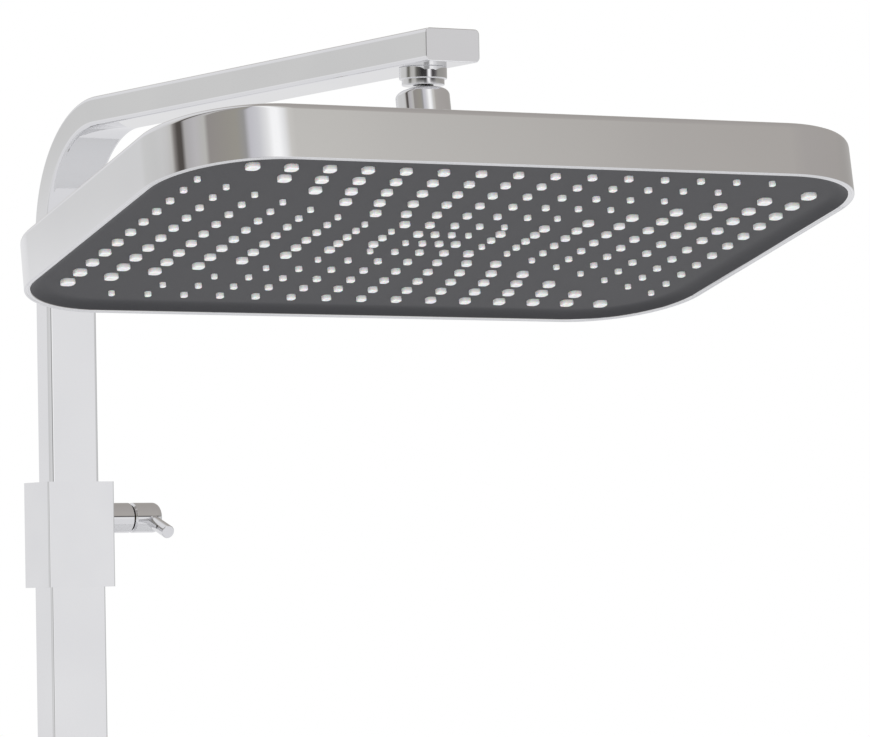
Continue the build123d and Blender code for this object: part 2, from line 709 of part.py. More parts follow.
# ---- Socket nut: domed shoulder over a spherical cavity, threaded onto the socket base --------
with BuildPart() as socket_nut:
    with BuildSketch(head_section):
        with BuildLine():
            Polyline(
                (0, nut_top), (nut_radius - nut_round, nut_top))
            RadiusArc((nut_radius - nut_round, nut_top), (nut_radius, nut_top - nut_round), nut_round)
            Polyline(
                (nut_radius, nut_top - nut_round), (nut_radius, -nut_skirt), (0, -nut_skirt), (0, nut_top))
        make_face()
        Circle(cup_radius, mode=Mode.SUBTRACT)
        with Locations((0, nut_top)):
            Rectangle(2 * nut_opening, 2 * nut_top, mode=Mode.SUBTRACT)
        with Locations((0, -cup_top / 2)):
            Rectangle(2 * cup_radius, cup_top, mode=Mode.SUBTRACT)
        with Locations((0, -cup_top - nut_skirt / 2)):
            Rectangle(2 * (thread_radius + fixed_clearance), nut_skirt, mode=Mode.SUBTRACT)
    revolve(axis=head_axis)
pieces["socket_nut"] = socket_nut

seal_depth = math.sqrt((ball_radius + ball_clearance + ball_seal_wire) ** 2 - ball_seal_radius ** 2)
with BuildPart() as socket_base:
    with BuildSketch(head_section):
        with BuildLine():
            Polyline(
                (passage_radius, -cup_top), (thread_radius, -cup_top), (thread_radius, -nut_skirt),
                (nut_radius, -nut_skirt), (nut_radius, -base_bottom),
                (nipple_radius + fixed_clearance, -base_bottom),
                (nipple_radius + fixed_clearance, -base_shoulder), (passage_radius, -base_shoulder),
                close=True)
        make_face()
        Circle(cup_radius, mode=Mode.SUBTRACT)
        with Locations((ball_seal_radius, -seal_depth)):
            Circle(ball_seal_wire + running_clearance, mode=Mode.SUBTRACT)
    revolve(axis=head_axis)
pieces["socket_base"] = socket_base

with BuildPart() as ball_seal:
    with BuildSketch(head_section):
        with Locations((ball_seal_radius, -seal_depth)):
            Circle(ball_seal_wire)
    revolve(axis=head_axis)
pieces["ball_seal"] = ball_seal

# ---- Head inlet: nipple with its washer, filter and flow restrictor ---------------------------
nipple_seat = chamber_top - chamber_wall
pieces["inlet_washer"] = turned(head_section, head_axis, [
    (passage_radius, nipple_top), (nipple_radius, nipple_top),
    (nipple_radius, -base_shoulder), (passage_radius, -base_shoulder)])

pieces["head_inlet"] = turned(head_section, head_axis, [
    (nipple_bore, nipple_top), (nipple_radius, nipple_top), (nipple_radius, nipple_seat),
    (nipple_flange_radius, nipple_seat), (nipple_flange_radius, nipple_seat - nipple_flange),
    (nipple_bore - insert_step, nipple_seat - nipple_flange),
    (nipple_bore - insert_step, nipple_top - insert_depth), (nipple_bore, nipple_top - insert_depth)])

screen_top = nipple_top - insert_gap
insert_radius = nipple_bore - running_clearance
with BuildPart() as inlet_filter:
    with BuildSketch(head_frame.offset(screen_top)):
        Circle(insert_radius)
        with PolarLocations(filter_outer_ring * insert_radius, 12):
            Circle(filter_hole, mode=Mode.SUBTRACT)
        with PolarLocations(filter_inner_ring * insert_radius, 6):
            Circle(filter_hole, mode=Mode.SUBTRACT)
    extrude(amount=-filter_thickness)
pieces["inlet_filter"] = inlet_filter

with BuildPart() as flow_restrictor:
    with BuildSketch(head_frame.offset(screen_top - filter_thickness - insert_gap)):
        Circle(insert_radius)
        with PolarLocations(restrictor_ring * insert_radius, 5):
            Circle(restrictor_hole, mode=Mode.SUBTRACT)
    extrude(amount=-restrictor_thickness)
pieces["flow_restrictor"] = flow_restrictor

with BuildPart() as head_lock_nut:
    with BuildSketch(head_frame.offset(-head_drop)):
        RegularPolygon(lock_nut_width / 2, 6, major_radius=False)
        Circle(nipple_radius + running_clearance, mode=Mode.SUBTRACT)
    extrude(amount=lock_nut_height)
pieces["head_lock_nut"] = head_lock_nut

hub_top = hub_height - head_drop
hub_bore = nut_radius + hub_clear_of_nut
pieces["hub_cover"] = turned(head_section, head_axis, [
    (hub_base_radius, -head_drop), (hub_top_radius + hub_edge_width, hub_top - hub_edge_height),
    (hub_top_radius, hub_top), (hub_bore, hub_top), (hub_bore, hub_top - hub_skin),
    (hub_top_radius, hub_top - hub_skin), (hub_base_radius - hub_skin, -head_drop)])

# ---- Head casing: pressed shell with a plain upright wall, and the trim inside its lower edge --
with BuildPart() as head_casing:
    with BuildSketch(head_frame.offset(-head_drop)):
        RectangleRounded(head_length, head_width, head_corner)
    extrude(amount=-head_height)
    fillet(head_casing.edges().group_by(head_axis)[-1], head_top_round)
    with BuildSketch(head_frame.offset(-head_drop - head_skin)):
        RectangleRounded(head_length - 2 * head_skin, head_width - 2 * head_skin, head_corner - head_skin)
    extrude(amount=-head_height, mode=Mode.SUBTRACT)
    with BuildSketch(head_frame.offset(-head_drop)):
        Circle(nipple_radius + fixed_clearance)
    extrude(amount=-head_skin, mode=Mode.SUBTRACT)
pieces["head_casing"] = head_casing

with BuildPart() as rim_trim:
    with BuildSketch(head_frame.offset(-head_drop - head_height)):
        RectangleRounded(head_length - 2 * head_skin, head_width - 2 * head_skin, head_corner - head_skin)
        RectangleRounded(
            head_length - 2 * (head_skin + rim_width), head_width - 2 * (head_skin + rim_width),
            head_corner - head_skin - rim_width, mode=Mode.SUBTRACT)
    extrude(amount=rim_height)
pieces["rim_trim"] = rim_trim

# ---- Spray face: plate with a hole for each nozzle, silicone mat, and the chamber above --------
nib_holes = nib_outlines(nib_clearance)
nibs = nib_outlines(0)
mat_length = plate_length - 2 * plate_ledge_width
mat_width = plate_width - 2 * plate_ledge_width
mat_corner = plate_corner - plate_ledge_width
half_length = plate_length / 2
half_width = plate_width / 2
screw_inset = plate_ledge_width / 2 - face_screw_outset
face_screws = [(share * half_length, side * (half_width - screw_inset))
               for side in (-1, 1) for share in long_side_screws]
face_screws += [(side * (half_length - screw_inset), share * half_width)
                for side in (-1, 1) for share in short_side_screws]

border_height = plate_recess - plate_border_setback
border_slope = math.degrees(math.atan((plate_border_width - plate_border_lip) / border_height))
with BuildPart() as spray_plate:
    with BuildSketch(head_frame.offset(plate_face)):
        RectangleRounded(plate_length, plate_width, plate_corner)
        add(nib_holes, mode=Mode.SUBTRACT)
    extrude(amount=plate_thickness)
    with BuildSketch(head_frame.offset(plate_face - border_height)):
        RectangleRounded(plate_length, plate_width, plate_corner)
    extrude(amount=border_height)
    with BuildSketch(head_frame.offset(plate_face - border_height)):
        RectangleRounded(plate_length - 2 * plate_border_lip, plate_width - 2 * plate_border_lip,
                         plate_corner - plate_border_lip)
    extrude(amount=border_height, taper=border_slope, mode=Mode.SUBTRACT)
    with BuildSketch(head_frame.offset(plate_top)):
        RectangleRounded(plate_length, plate_width, plate_corner)
        RectangleRounded(mat_length + 2 * fixed_clearance, mat_width + 2 * fixed_clearance,
                         mat_corner, mode=Mode.SUBTRACT)
    extrude(amount=mat_thickness)
    with BuildSketch(head_frame.offset(mat_top)):
        with Locations(*face_screws):
            Circle(face_screw_radius + running_clearance)
    extrude(amount=chamber_flange - face_screw_length, mode=Mode.SUBTRACT)
pieces["spray_plate"] = spray_plate

with BuildPart() as silicone_mat:
    with BuildSketch(head_frame.offset(plate_top)):
        RectangleRounded(mat_length, mat_width, mat_corner)
    extrude(amount=mat_thickness)
    with BuildSketch(head_frame.offset(plate_face - nib_stand_out)):
        add(nibs)
    extrude(amount=nib_stand_out + plate_thickness)
pieces["silicone_mat"] = silicone_mat

chamber_length = plate_length - 2 * chamber_inset
chamber_width = plate_width - 2 * chamber_inset
chamber_corner = plate_corner - chamber_inset
with BuildPart() as chamber_cover:
    with BuildSketch(head_frame.offset(mat_top)):
        RectangleRounded(plate_length, plate_width, plate_corner)
    extrude(amount=chamber_flange)
    with BuildSketch(head_frame.offset(mat_top)):
        RectangleRounded(chamber_length, chamber_width, chamber_corner)
    extrude(amount=chamber_top - mat_top)
    with BuildSketch(head_frame.offset(mat_top)):
        RectangleRounded(chamber_length - 2 * chamber_wall, chamber_width - 2 * chamber_wall,
                         chamber_corner - chamber_wall)
    extrude(amount=chamber_top - chamber_wall - mat_top, mode=Mode.SUBTRACT)
    with BuildSketch(head_frame.offset(chamber_top)):
        Circle(nipple_radius + running_clearance)
    extrude(amount=-chamber_wall, mode=Mode.SUBTRACT)
    with BuildSketch(head_frame.offset(mat_top)):
        with Locations(*face_screws):
            Circle(face_screw_radius + fixed_clearance)
    extrude(amount=chamber_flange, mode=Mode.SUBTRACT)
pieces["chamber_cover"] = chamber_cover

with BuildPart() as plate_screws:
    with BuildSketch(head_frame.offset(mat_top + chamber_flange)):
        with Locations(*face_screws):
            Circle(face_screw_head)
    extrude(amount=face_screw_head_height)
    with BuildSketch(head_frame.offset(mat_top + chamber_flange)):
        with Locations(*face_screws):
            Circle(face_screw_radius)
    extrude(amount=-face_screw_length)
pieces["plate_screws"] = plate_screws

for label, piece in pieces.items():
    piece.part.label = label
    export_step(piece.part, f"parts/{label}.step")
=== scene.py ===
import json
import math

import bpy
import numpy as np
from mathutils import Matrix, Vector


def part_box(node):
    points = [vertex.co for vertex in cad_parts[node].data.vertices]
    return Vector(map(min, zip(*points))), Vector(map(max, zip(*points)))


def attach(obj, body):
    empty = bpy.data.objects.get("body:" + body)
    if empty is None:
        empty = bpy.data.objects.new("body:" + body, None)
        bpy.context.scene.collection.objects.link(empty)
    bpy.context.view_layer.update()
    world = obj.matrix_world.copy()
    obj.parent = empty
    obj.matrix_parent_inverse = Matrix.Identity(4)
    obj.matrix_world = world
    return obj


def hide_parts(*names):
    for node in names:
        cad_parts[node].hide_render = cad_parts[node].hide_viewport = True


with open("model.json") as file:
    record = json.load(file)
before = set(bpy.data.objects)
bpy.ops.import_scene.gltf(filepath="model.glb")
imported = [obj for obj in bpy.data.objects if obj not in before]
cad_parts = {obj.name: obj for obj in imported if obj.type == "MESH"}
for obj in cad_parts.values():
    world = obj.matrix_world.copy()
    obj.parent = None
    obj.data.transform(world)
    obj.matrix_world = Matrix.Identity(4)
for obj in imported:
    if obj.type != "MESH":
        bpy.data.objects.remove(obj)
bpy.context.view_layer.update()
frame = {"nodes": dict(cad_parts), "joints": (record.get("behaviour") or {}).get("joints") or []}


# ---- Wall bases ---------------------------------------------------------------------------
# Two open boxes of die-cast zinc, each held to the wall by two screws through its floor. They are
# left as cast and tumbled, so they are dull and faintly grainy. A grub screw of stainless steel
# comes up through each sleeve and bites into the base.

def linear(code):
    """An sRGB hex colour as linear red, green, blue and alpha, by the standard sRGB curve."""
    parts = [int(code[i:i + 2], 16) / 255 for i in (0, 2, 4)]
    return tuple(c / 12.92 if c <= 0.04045 else ((c + 0.055) / 1.055) ** 2.4 for c in parts) + (1.0,)


def add_node(tree, kind, inputs=None, **settings):
    """One node. Settings are its attributes, and each input takes a value or another node's socket."""
    node = tree.nodes.new(kind)
    for name, value in settings.items():
        setattr(node, name, value)
    for name, value in (inputs or {}).items():
        if isinstance(value, bpy.types.NodeSocket):
            tree.links.new(value, node.inputs[name])
        else:
            node.inputs[name].default_value = value
    return node


def new_surface(name, **values):
    """A material with one Principled shader whose plain values are set on its own sockets."""
    made = bpy.data.materials.new(name)
    made.use_nodes = True
    shader = made.node_tree.nodes["Principled BSDF"]
    for socket, value in values.items():
        shader.inputs[socket.replace("_", " ")].default_value = value
    place = add_node(made.node_tree, "ShaderNodeTexCoord").outputs["Object"]
    return made, made.node_tree, shader, place


def mottled(tree, shader, place, size_mm, dark, light, rough=None, relief_mm=0.0, detail=3.0):
    """Lets one noise of the given size vary a surface: its colour, its roughness and its relief."""
    noise = add_node(tree, "ShaderNodeTexNoise", {"Vector": place, "Scale": 1000 / size_mm, "Detail": detail})
    tone = add_node(tree, "ShaderNodeMix", {0: noise.outputs["Fac"], "A": linear(dark), "B": linear(light)},
                    data_type="RGBA")
    tree.links.new(tone.outputs["Result"], shader.inputs["Base Color"])
    if rough:
        spread = add_node(tree, "ShaderNodeMapRange",
                          {"Value": noise.outputs["Fac"], "To Min": rough[0], "To Max": rough[1]})
        tree.links.new(spread.outputs["Result"], shader.inputs["Roughness"])
    if relief_mm:
        bump = add_node(tree, "ShaderNodeBump",
                        {"Height": noise.outputs["Fac"], "Distance": relief_mm / 1000, "Strength": 1.0})
        tree.links.new(bump.outputs["Normal"], shader.inputs["Normal"])
    return noise


def finish_nodes(made, *names):
    """Gives carried-over CAD nodes a material."""
    for name in names:
        for place in frame["nodes"][name].material_slots:
            place.material = made


# Die-cast zinc: a matt grey metal with a grain of about a millimetre from the mould.
zinc, tree, shader, place = new_surface("die_cast_zinc", Metallic=1.0)
mottled(tree, shader, place, 1.2, "9EA1A4", "B9BCBE", (0.42, 0.58), 0.02)
finish_nodes(zinc, "upper_wall_base", "lower_wall_base")

# Stainless steel screws: a clean metal with the faint streaks of the wire they were headed from.
steel, tree, shader, place = new_surface("headed_stainless_steel", Metallic=1.0)
mottled(tree, shader, place, 0.8, "B4B3B0", "D2D1CE", (0.22, 0.36), 0.004)
finish_nodes(steel, "bracket_grub_screws", "box_set_screws", "plate_screws")


# ---- Bracket sleeves ------------------------------------------------------------------------
# Two deep-drawn brass sleeves, brazed to the back of the rail and slid over the wall bases. They
# are polished, nickelled and chromed with the rail, so the metal is a nearly perfect mirror.

def chromed(name, ripple_mm, relief_mm, haze=(0.03, 0.05), dark="E0E0E2", light="E8E8E9"):
    """Polished chrome plate: a mirror whose haze drifts a little, with the long low ripple that the
    polishing wheel leaves in the metal under it."""
    made, tree, shader, place = new_surface(name, Metallic=1.0)
    mottled(tree, shader, place, ripple_mm, dark, light, haze, relief_mm, 1.5)
    return made


chrome_on_sheet = chromed("chrome_plate_on_drawn_brass", 30, 0.003)
finish_nodes(chrome_on_sheet, "upper_bracket_sleeve", "lower_bracket_sleeve")


# ---- Rail -----------------------------------------------------------------------------------
# The lower, outer tube of the telescope: a rectangular brass tube, drawn through a die, so its
# long edges are crisp and its faces flat and straight, then polished and chromed.

MM = 0.001


def outline(width, depth, corner, steps):
    """A rounded rectangle, anticlockwise: four quarter circles round centres set in from its corners.
    The sizes are arrays, and the result has one row of points for each."""
    turn = np.arange(4)[:, None] * np.pi / 2 + np.linspace(0, np.pi / 2, steps)
    side, front = np.array([1, -1, -1, 1])[:, None], np.array([1, 1, -1, -1])[:, None]
    width, depth, corner = (np.reshape(v, (-1, 1, 1)) for v in (width, depth, corner))
    x = (width / 2 - corner) * side + corner * np.cos(turn)
    y = (depth / 2 - corner) * front + corner * np.sin(turn)
    return np.stack([x, y], -1).reshape(len(width), -1, 2)


def rings(rows, steps=8):
    """One rounded rectangle for each row of (width, depth, corner, height)."""
    width, depth, corner, height = np.array(rows, float).T
    flat = outline(width, depth, corner, steps)
    return np.concatenate([flat, np.broadcast_to(height[:, None, None], flat.shape[:2] + (1,))], -1)


def edge(width, depth, corner, height, radius, side):
    """Rows that round off an end: a quarter circle by which the outline draws in as it nears the
    height. A side of 1 comes up to an upper end, and -1 leaves a lower one."""
    angle = np.linspace(0, np.pi / 2, 6)[::side]
    inset = radius * (1 - np.cos(angle))
    return np.column_stack([width - 2 * inset, depth - 2 * inset, corner - inset,
                            height - side * radius * (1 - np.sin(angle))])


def placed(grid, origin, axes=np.eye(3)):
    """Millimetres in a piece's own axes, turned and moved to its place, in metres."""
    return np.asarray(origin) + (grid * MM) @ np.asarray(axes, float)


def skin_quads(count, points, closed=False):
    """Quads that join each loop of points to the next one, and the last to the first if closed."""
    row = np.arange(count if closed else count - 1)[:, None] * points
    after = (row + points) % (count * points)
    here = np.arange(points)
    beside = (here + 1) % points
    return np.stack([row + here, row + beside, after + beside, after + here], -1).reshape(-1, 4)


def piece(name, grid, made, body, stands_for, closed=False):
    """A skin of quads over rows of points, each row a closed loop. A closed one joins its last row
    to its first, as in a tube with a bore, and an open one has a flat face at both ends."""
    count, points = grid.shape[:2]
    quads, here = skin_quads(count, points, closed), np.arange(points)
    ends = [] if closed else [here[::-1].tolist(), (here + (count - 1) * points).tolist()]
    mesh = bpy.data.meshes.new(name)
    mesh.from_pydata(grid.reshape(-1, 3).tolist(), [], quads.tolist() + ends)
    return finish_piece(name, mesh, made, body, stands_for)


def finish_piece(name, mesh, made, body, stands_for):
    """Smooth shading that keeps flat faces flat, the material if it has one yet, what the piece rides
    on, and the CAD nodes that it stands for."""
    mesh.validate()
    mesh.shade_smooth()
    if made:
        mesh.materials.append(made)
    made_piece = bpy.data.objects.new(name, mesh)
    bpy.context.scene.collection.objects.link(made_piece)
    made_piece.modifiers.new("weighted", "WEIGHTED_NORMAL").keep_sharp = True
    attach(made_piece, body)
    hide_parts(*stands_for)
    return made_piece


def corners_of(node):
    """The low and the high corner of a node's box, in millimetres."""
    return np.array(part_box(node)) / MM


chrome_on_tube = chromed("chrome_plate_on_drawn_tube", 45, 0.002, (0.03, 0.045))
rail_low, rail_high = corners_of("rail_tube")
rail_wall, rail_corner, bore_corner, burr = 1.3, 1.2, 0.4, 0.2
column_y = (rail_low[1] + rail_high[1]) / 2
column = np.array([0.0, column_y * MM, 0.0])
wide, deep, _ = rail_high - rail_low
rail_foot, rail_top = rail_low[2], rail_high[2]
rail = np.vstack([
    edge(wide, deep, rail_corner, rail_foot, burr, -1),
    edge(wide, deep, rail_corner, rail_top, burr, 1),
    [(wide - 2 * rail_wall, deep - 2 * rail_wall, bore_corner, rail_top),
     (wide - 2 * rail_wall, deep - 2 * rail_wall, bore_corner, rail_foot)]])
piece("rail", placed(rings(rail), column), chrome_on_tube, "column",
      ["rail_tube"], closed=True)


# ---- Foot of the rail -----------------------------------------------------------------------
# A machined brass block closes the rail and is chromed with it. The inlet nipple under it is cut
# with a G 1/2 thread, 14 turns to the inch, for the hose or the mixer's outlet.

chrome_on_block = chromed("chrome_plate_on_machined_brass", 18, 0.002)
block_low, block_high = corners_of("bottom_plug")
block_wide, block_deep, _ = block_high - block_low
block_foot, block_corner, block_edge, seam_edge = block_low[2], 2.0, 0.6, 0.15
plug_room, plug_corner, plug_top = 0.2, 1.0, block_high[2]
plug_wide, plug_deep = wide - 2 * rail_wall - plug_room, deep - 2 * rail_wall - plug_room
foot = np.vstack([
    edge(block_wide, block_deep, block_corner, block_foot, block_edge, -1),
    edge(block_wide, block_deep, block_corner, rail_foot, seam_edge, 1),
    [(plug_wide, plug_deep, plug_corner, rail_foot), (plug_wide, plug_deep, plug_corner, plug_top)]])
piece("rail_foot", placed(rings(foot), column), chrome_on_block, "column",
      ["bottom_plug"])


def around(radius, height, steps=64):
    """Points (radius, height) turned about an upright axis, one row of the grid for each."""
    turn = np.linspace(0, 2 * np.pi, steps, endpoint=False)
    radius, height = (np.reshape(v, (-1, 1)) * np.ones(steps) for v in (radius, height))
    return np.stack([radius * np.cos(turn), radius * np.sin(turn), height], -1)


def softened(corners, radius, closed=True, steps=5):
    """A profile with its corners rounded: each corner becomes an arc that leaves one straight run and
    meets the next without a kink. The radius is one value or one for each corner."""
    here = np.array(corners, float)
    back, on = np.roll(here, 1, 0) - here, np.roll(here, -1, 0) - here
    back /= np.linalg.norm(back, axis=1, keepdims=True)
    on /= np.linalg.norm(on, axis=1, keepdims=True)
    half = np.arccos(np.clip((back * on).sum(1), -1, 1)) / 2
    radius = np.broadcast_to(radius, len(here)).astype(float)
    middle = (back + on) / np.linalg.norm(back + on, axis=1, keepdims=True)
    centre = here + middle * (radius / np.sin(half))[:, None]
    first = here + back * (radius / np.tan(half))[:, None] - centre
    last = here + on * (radius / np.tan(half))[:, None] - centre
    swing, share = (np.pi - 2 * half)[:, None, None], np.linspace(0, 1, steps)[None, :, None]
    arcs = centre[:, None] + (np.sin((1 - share) * swing) * first[:, None]
                              + np.sin(share * swing) * last[:, None]) / np.sin(swing)
    if closed:
        return arcs.reshape(-1, 2)
    return np.vstack([here[:1], arcs[1:-1].reshape(-1, 2), here[-1:]])


def turned(corners, radius, closed=True, steps=64, arc_steps=5):
    """A lathe-turned skin: a softened profile of (radius, height), carried round the axis."""
    line = softened(corners, radius, closed, arc_steps)
    return around(line[:, 0], line[:, 1], steps)


thread_radius, thread_pitch, thread_depth, thread_run_in = 10.475, 1.814, 1.16, 1.2
nipple_end, flange_foot, relief, flange_edge = corners_of("inlet_nipple")[0][2], block_foot - 1.0, 0.6, 0.15
flange_radius, spigot_radius, spigot_top, nipple_bore = 12.075, 7.0, block_foot + 7, 5.0
climb = np.arange(nipple_end, flange_foot - relief, thread_pitch / 10)
turn = np.linspace(0, 1, 64, endpoint=False)
# A crest and a root for each turn: the radius is a triangle wave of height less the turn's share.
wave = np.abs(((climb[:, None] - nipple_end) / thread_pitch - turn) % 1 - 0.5) * 2
fade = np.clip((climb - nipple_end) / thread_run_in, 0, 1)[:, None]
cut = thread_radius - thread_depth * (1 - fade * (1 - np.clip(wave * 1.25 - 0.12, 0, 1)))
threads = np.stack([cut * np.cos(2 * np.pi * turn), cut * np.sin(2 * np.pi * turn),
                    climb[:, None] * np.ones(64)], -1)
nipple_head = around([thread_radius - thread_depth, flange_radius - 0.1, flange_radius, flange_radius,
                      spigot_radius, spigot_radius, nipple_bore],
                     [flange_foot, flange_foot, flange_foot + flange_edge, block_foot, block_foot,
                      spigot_top, spigot_top])
nipple_mouth = around([nipple_bore, nipple_bore + 0.4], [nipple_end + 0.4, nipple_end])
piece("inlet_nipple_thread", placed(np.concatenate([nipple_mouth, threads, nipple_head]), column),
      chrome_on_block, "column", ["inlet_nipple"], closed=True)


# ---- Water way in the column ----------------------------------------------------------------
# A fixed stand pipe and a water pipe that slides over it, of half-hard brass tube, with a turned
# brass gland between them. Brass inside a shower tube dulls to a soft yellow brown.

brass, tree, shader, place = new_surface("dulled_turned_brass", Metallic=1.0)
mottled(tree, shader, place, 4, "B08D4C", "D3B673", (0.24, 0.4), 0.004)
finish_nodes(brass, "stand_pipe", "water_pipe", "pipe_gland", "elbow_block", "clamp_screw",
             "head_inlet", "head_lock_nut")

# Nitrile rubber: black, a little grey where it is rubbed, with the skin of a polished mould.
rubber, tree, shader, place = new_surface("nitrile_rubber", Roughness=0.55)
mottled(tree, shader, place, 2.5, "101010", "262626", (0.45, 0.65), 0.01)
finish_nodes(rubber, "gland_o_rings", "stud_seal", "ball_seal", "inlet_washer")

# Acetal: a waxy, slightly warm white plastic that is turned or moulded, and takes a soft shine.
acetal, tree, shader, place = new_surface("natural_acetal", IOR=1.48, Subsurface_Weight=0.15,
                                          Subsurface_Scale=0.002)
mottled(tree, shader, place, 6, "DDDBD2", "EAE8E1", (0.3, 0.42), 0.006)
finish_nodes(acetal, "guide_bush", "riser_guide", "clamp_shoe", "tilt_seat", "lean_seat",
             "flow_restrictor")


# ---- Clamp box ------------------------------------------------------------------------------
# A zinc casting that joins the two tubes, ground flat on a belt, polished and chromed. Two sunk
# screws in its back pin it to the rail.

chrome_on_casting = chromed("chrome_plate_on_zinc_casting", 24, 0.003)
finish_nodes(chrome_on_casting, "clamp_box")


# ---- Clamp lever ----------------------------------------------------------------------------
# A short boss on the box and a knob on the clamp screw, both turned from brass bar and chromed.
# Their facing edges are chamfered and make a groove, and a pin through the knob turns it.

chrome_on_turning = chromed("chrome_plate_on_turned_brass", 9, 0.0015)
knob_low, knob_high = corners_of("lever_knob")
lever_axis = (knob_low + knob_high) / 2 * MM * [0, 1, 1]
along_x = np.array([[0, 1, 0], [0, 0, 1], [1, 0, 0]])
boss_radius, groove, knob_round, screw_radius, step_radius, step = 7.45, 0.9, 3.2, 4.05, 5.85, 1.5
boss_foot, boss_end = corners_of("clamp_box")[1][0], corners_of("lever_boss")[1][0]
boss = turned([(screw_radius, boss_foot - step), (step_radius, boss_foot - step),
               (step_radius, boss_foot), (boss_radius, boss_foot),
               (boss_radius, boss_end - groove), (boss_radius - groove, boss_end), (screw_radius, boss_end)],
              [0.05, 0.05, 0.05, 0.05, 0.15, 0.15, 0.05])
piece("boss", placed(boss, lever_axis, along_x), chrome_on_turning, "column",
      ["lever_boss"], closed=True)

knob_start, knob_end, screw_hole, pole = knob_low[0], knob_high[0], 2.0, 0.6
knob = turned([(screw_radius, knob_start + screw_hole), (screw_radius, knob_start),
               (boss_radius - groove, knob_start), (boss_radius, knob_start + groove),
               (boss_radius, knob_end), (pole, knob_end)],
              [0.05, 0.05, 0.15, 0.15, knob_round, 0.05], closed=False, arc_steps=9)
piece("knob", placed(knob, lever_axis, along_x), chrome_on_turning, "lever",
      ["lever_knob"])

pin_radius, pin_seat, pin_reach, pin_pole, pin_droop = 3.3, 4.5, 23.3, 0.4, math.radians(19)
pin_foot = lever_axis + corners_of("lever_pin").mean(0) * MM * [1, 0, 0]
pin_way = np.array([0, -math.cos(pin_droop), -math.sin(pin_droop)])
pin_axes = np.array([[1, 0, 0], np.cross(pin_way, [1, 0, 0]), pin_way])
pin = turned([(pin_pole, pin_seat), (pin_radius, pin_seat), (pin_radius, pin_reach), (pin_pole, pin_reach)],
             [0.1, 0.1, 0.45, 0.1], closed=False, steps=48)
piece("pin", placed(pin, pin_foot, pin_axes), chrome_on_turning, "lever", ["lever_pin"])


# ---- Riser and arm --------------------------------------------------------------------------
# The inner tube of the telescope, drawn with softer edges than the rail, and bent over a former
# into the arm in one piece. A pressed cap closes the arm's end.

riser_wide, riser_deep, riser_wall, riser_corner, bend_middle = 27.0, 14.5, 1.2, 2.2, 58.25
(_, arm_front, riser_foot), (_, _, arm_top) = corners_of("riser_tube")
arm_axis = arm_top - riser_deep / 2
# The tube's middle line: straight up, a quarter circle of the bend's radius, straight out.
sweep = np.linspace(0, np.pi / 2, 49)
line_y = np.concatenate([[column_y], column_y - bend_middle * (1 - np.cos(sweep)), [arm_front]])
line_z = np.concatenate([[riser_foot], arm_axis - bend_middle * (1 - np.sin(sweep)), [arm_axis]])
lean = np.concatenate([[0], sweep, [np.pi / 2]])


def carried(shape):
    """A tube's outline (x, depth) carried along the middle line, square to it at each station."""
    x, depth = shape[:, 0], shape[:, 1]
    y = line_y[:, None] + depth * np.cos(lean)[:, None]
    z = line_z[:, None] + depth * np.sin(lean)[:, None]
    return np.stack([x + np.zeros_like(y), y, z], -1)


outside = carried(outline(riser_wide, riser_deep, riser_corner, 10)[0])
inside = carried(outline(riser_wide - 2 * riser_wall, riser_deep - 2 * riser_wall,
                         riser_corner - riser_wall, 10)[0])
piece("riser_and_arm", placed(np.concatenate([outside, inside[::-1]]), (0, 0, 0)), chrome_on_tube,
      "riser", ["riser_tube"], closed=True)

cap_lip_wide, cap_lip_deep = riser_wide - 2 * riser_wall - 1.2, riser_deep - 2 * riser_wall - 0.2
cap_lip_corner, cap_lip_long, cap_seam, cap_edge = 0.5, 9.0, 0.06, 0.35
cap_front, cap_back = -corners_of("arm_end_cap")[0][1], -arm_front
facing_room = np.array([[1, 0, 0], [0, 0, 1], [0, -1, 0]])
cap = np.vstack([
    [(cap_lip_wide, cap_lip_deep, cap_lip_corner, cap_back - cap_lip_long),
     (cap_lip_wide, cap_lip_deep, cap_lip_corner, cap_back)],
    edge(riser_wide, riser_deep, riser_corner, cap_back, cap_seam, -1),
    edge(riser_wide, riser_deep, riser_corner, cap_front, cap_edge, 1)])
piece("arm_cap", placed(rings(cap, 10), (0, 0, arm_axis * MM), facing_room), chrome_on_tube, "riser",
      ["arm_end_cap"])


# ---- Ball stud ------------------------------------------------------------------------------
# Turned from one brass bar and chromed: a collar and a narrower ring under the arm, a neck, and
# the ball that the head hangs on.

joints = {joint["name"]: joint for joint in frame["joints"]}
ball = np.array(joints["head_turn"]["pos_m"])
ball_radius, neck_radius, collar_radius, ring_radius = 8.4, 4.704, 10.5, 9.35
collar_tall, ring_tall, tail_radius, tail_long, bore_radius = 5.3, 2.7, 7.0, 9.0, 2.75
under_arm = arm_top - riser_deep - ball[2] / MM
collar_foot = under_arm - collar_tall
ring_foot = collar_foot - ring_tall
swell = np.linspace(-math.acos(bore_radius / ball_radius), math.acos(neck_radius / ball_radius), 33)
stem = softened([(neck_radius, ball_radius * math.sin(swell[-1])), (neck_radius, ring_foot),
                 (ring_radius, ring_foot), (ring_radius, collar_foot), (collar_radius, collar_foot),
                 (collar_radius, under_arm), (tail_radius, under_arm), (tail_radius, under_arm + tail_long)],
                [0.1, 0.5, 0.4, 0.1, 0.35, 0.25, 0.05, 0.1], closed=False)
stud = around(np.concatenate([ball_radius * np.cos(swell), stem[1:, 0]]),
              np.concatenate([ball_radius * np.sin(swell), stem[1:, 1]]))
piece("ball_stud_turned", placed(stud, ball), chrome_on_turning, "riser", ["ball_stud"])


# ---- Socket nut and socket base -------------------------------------------------------------
# The nut's domed shoulder holds the ball down on its plastic seats. It screws onto the socket
# base, which screws onto the head's nipple. Both are turned from brass and chromed.

